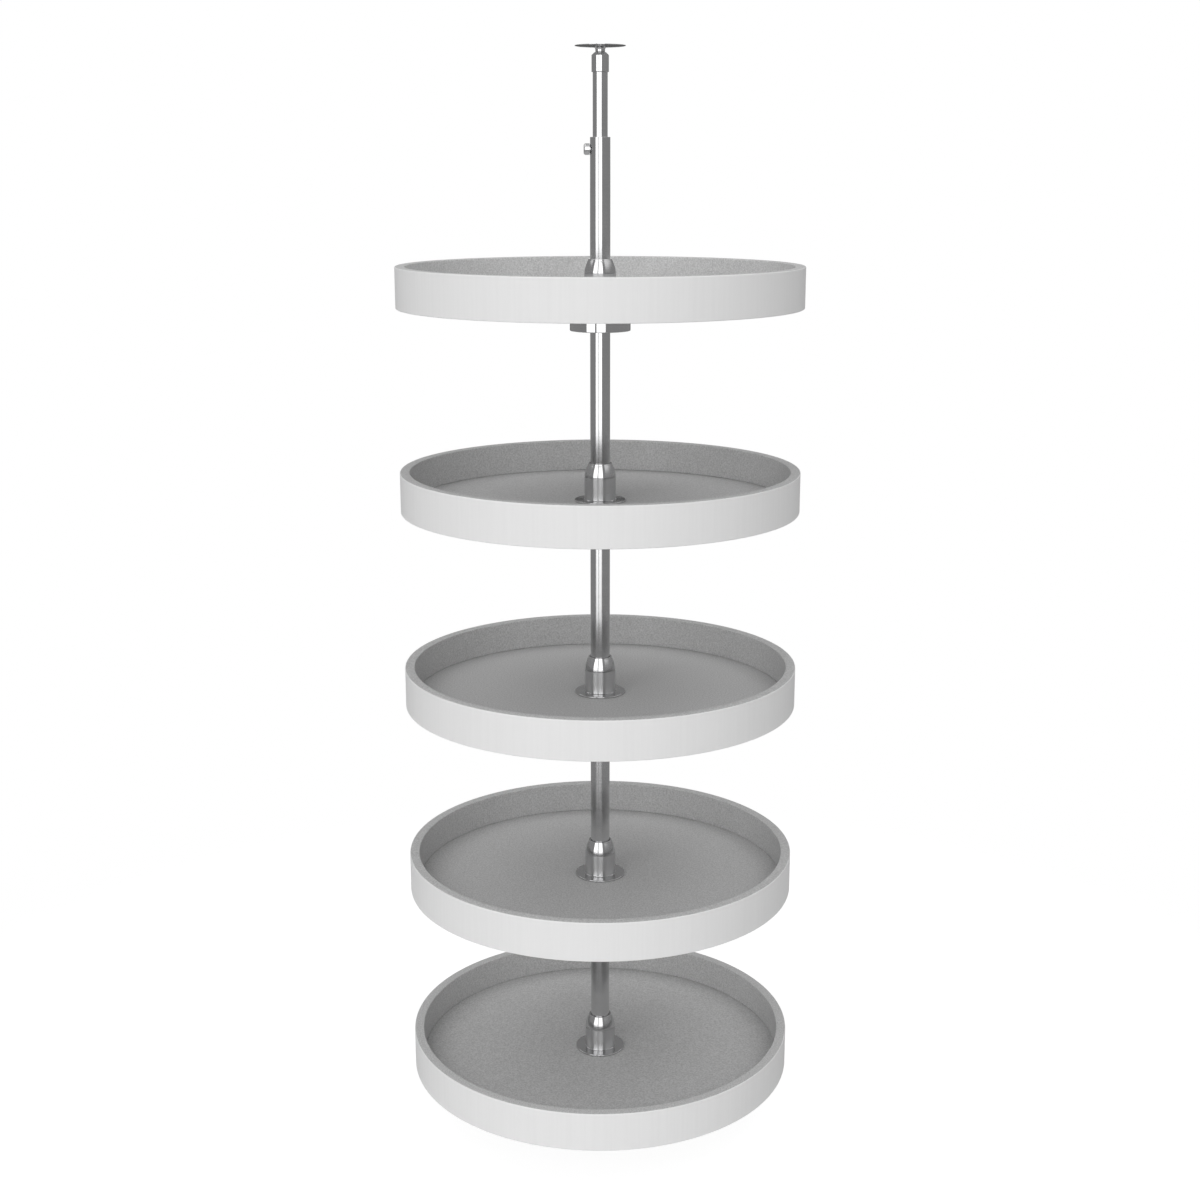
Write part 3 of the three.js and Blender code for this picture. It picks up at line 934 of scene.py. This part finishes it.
def studio_floor():
    """A flat disc of rings, radius by angle, with one point at its centre."""
    angle = np.arange(floor_steps)[:, None] * 2 * np.pi / floor_steps
    radius = np.linspace(0, floor_radius, floor_rings + 1)[None]
    points = np.stack([radius * np.cos(angle), radius * np.sin(angle), 0 * radius * angle], -1)
    i, j = np.indices((floor_steps, floor_rings))
    i_next = (i + 1) % floor_steps
    spokes = np.stack([i, i, i_next, i_next], -1)
    quads = spokes * (floor_rings + 1) + np.stack([j, j + 1, j + 1, j], -1)
    disc = made("studio_floor", points.reshape(-1, 3) / mm, quads.reshape(-1, 4))
    material = bpy.data.materials.new("white_floor")
    material.use_nodes = True
    tree = material.node_tree
    tree.nodes.clear()
    place = add(tree, "ShaderNodeTexCoord").outputs["Object"]
    reach = add(tree, "ShaderNodeVectorMath", {0: place}, operation="LENGTH").outputs["Value"]
    fade = add(tree, "ShaderNodeMapRange", {
        "Value": reach, "From Min": fade_start, "From Max": fade_end, "To Min": 1, "To Max": 0},
        interpolation_type="SMOOTHSTEP").outputs["Result"]
    behind = add(tree, "ShaderNodeMapRange", {
        "Value": add(tree, "ShaderNodeSeparateXYZ", {"Vector": place}).outputs["Y"],
        "From Min": mirrored_start, "From Max": mirrored_end},
        interpolation_type="SMOOTHSTEP").outputs["Result"]
    path = add(tree, "ShaderNodeLightPath").outputs
    mirrored = add(tree, "ShaderNodeMath", {
        0: path["Is Glossy Ray"], 1: path["Is Transmission Ray"]}, operation="ADD").outputs[0]
    mirrored = add(tree, "ShaderNodeMath", {0: mirrored, 1: behind},
                   operation="MULTIPLY").outputs[0]
    seen = add(tree, "ShaderNodeMath", {0: path["Is Camera Ray"], 1: mirrored},
               operation="ADD", use_clamp=True).outputs[0]
    seen = add(tree, "ShaderNodeMath", {0: seen, 1: fade}, operation="MULTIPLY").outputs[0]
    paint = add(tree, "ShaderNodeBsdfDiffuse", {
        "Color": (floor_grey, floor_grey, floor_grey, 1)}).outputs[0]
    glow = add(tree, "ShaderNodeEmission", {"Strength": floor_glow}).outputs[0]
    white = add(tree, "ShaderNodeAddShader", {0: paint, 1: glow}).outputs[0]
    clear = add(tree, "ShaderNodeBsdfTransparent").outputs[0]
    shown = add(tree, "ShaderNodeMixShader", {0: seen, 1: clear, 2: white}).outputs[0]
    add(tree, "ShaderNodeOutputMaterial", {"Surface": shown})
    disc.data.materials.append(material)


studio_floor()


# ---- Studio light ----
# A window of two tall panes to the left of the camera, dimmer lights high on both sides and
# behind, and soft grey all round. The camera sees plain white behind the unit.

window_facing = -16
window_gain = 1.78
grey_base = 0.3


def studio_light():
    """Radiance by direction: a grey base, plus each light's gain times the product of soft
    steps in its own two coordinates."""
    world = bpy.data.worlds.new("studio")
    bpy.context.scene.world = world
    world.use_nodes = True
    tree = world.node_tree
    tree.nodes.clear()
    way = add(tree, "ShaderNodeTexCoord").outputs["Generated"]
    axes = add(tree, "ShaderNodeSeparateXYZ", {"Vector": way}).outputs

    def maths(operation, *values):
        return add(tree, "ShaderNodeMath", dict(enumerate(values)), operation=operation).outputs[0]

    def step(value, low, high):
        limits = {"Value": value, "From Min": min(low, high), "From Max": max(low, high)}
        if low > high:
            limits.update({"To Min": 1, "To Max": 0})
        return add(tree, "ShaderNodeMapRange", limits,
                   interpolation_type="SMOOTHSTEP").outputs["Result"]

    def product(first, *others):
        for other in others:
            first = maths("MULTIPLY", first, other)
        return first

    def band(value, out_low, in_low, in_high, out_high):
        return product(step(value, out_low, in_low), step(value, out_high, in_high))

    def reach(x, y):
        return add(tree, "ShaderNodeVectorMath", {0: way, 1: (x, y, 0)},
                   operation="DOT_PRODUCT").outputs["Value"]

    # The window is a flat sheet. Its edges are slopes: across, or up, over the way ahead.
    facing = math.radians(window_facing)
    forward = reach(math.sin(facing), -math.cos(facing))
    ahead = maths("MAXIMUM", forward, 0.001)
    across = maths("DIVIDE", reach(math.cos(facing), math.sin(facing)), ahead)
    rise = maths("DIVIDE", axes["Z"], ahead)
    in_height = product(band(rise, -0.344, -0.2126, 1.09, 1.13), step(forward, 0.0, 0.01))
    left_pane = product(band(across, -0.755, -0.72, -0.073, -0.057), in_height)
    right_pane = product(band(across, 0.032, 0.049, 0.72, 0.755), in_height)

    # The other lights are given in degrees: round from the camera's side, and up.
    azimuth = maths("MULTIPLY", maths("ARCTAN2", axes["X"], maths("MULTIPLY", axes["Y"], -1.0)),
                    180 / math.pi)
    turn = maths("ABSOLUTE", azimuth)
    height = maths("MULTIPLY", maths("ARCSINE", axes["Z"]), 180 / math.pi)
    under_top = step(height, 66, 62)
    over_floor = step(height, -24, -18)
    at_back = step(turn, 140, 172)
    lights = [
        (window_gain, left_pane),
        (window_gain, right_pane),
        (0.5, product(band(azimuth, 41, 46, 118, 122), step(height, 15, 35), under_top)),
        (0.6, product(band(azimuth, -126, -122, -78, -74), step(height, 26, 30), under_top)),
        (0.12, product(band(azimuth, 36, 42, 70, 90), step(height, 5, 25), under_top)),
        (0.6, product(band(turn, 118, 126, 148, 154), step(height, 33, 38), under_top)),
        (0.7, step(height, 40, 60)),
        (0.25, step(height, -18, -40)),
        (-0.06, product(at_back, over_floor, under_top)),
        (-0.13, product(at_back, over_floor, step(height, 16, 10))),
        (-0.13, product(at_back, step(height, 30, 36), under_top)),
    ]
    total = grey_base
    for gain, mask in lights:
        total = maths("MULTIPLY_ADD", mask, gain, total)

    path = add(tree, "ShaderNodeLightPath").outputs
    backdrop = product(step(turn, 158, 164), band(height, -1, 1, 4.4, 6))
    mirrored = maths("ADD", path["Is Glossy Ray"], path["Is Transmission Ray"])
    seen = maths("MULTIPLY_ADD", mirrored, backdrop, path["Is Camera Ray"])
    seen = maths("MINIMUM", seen, 1.0)
    shown = add(tree, "ShaderNodeMix", {0: seen, 2: total, 3: 1.0}, data_type="FLOAT").outputs[0]
    sky = add(tree, "ShaderNodeBackground", {"Color": (1, 1, 1, 1), "Strength": shown})
    add(tree, "ShaderNodeOutputWorld", {"Surface": sky.outputs[0]})


studio_light()


# ---- Camera ----
# A little above the top tray and straight in front of the pole, looking slightly down. The
# place and the lens were solved from the rims' ellipses in the photograph.

camera_lens = 52.44
camera_sideways = -0.00025
camera_distance = 2.2053
camera_height = 1.2469
camera_tilt = 13.756

camera_data = bpy.data.cameras.new("camera")
camera_data.sensor_width = 36
camera_data.lens = camera_lens
camera = bpy.data.objects.new("camera", camera_data)
camera.location = (camera_sideways, -camera_distance, camera_height)
camera.rotation_euler = (math.radians(90 - camera_tilt), 0, 0)
bpy.context.scene.collection.objects.link(camera)
bpy.context.scene.camera = camera
bpy.context.scene.view_settings.view_transform = "Standard"
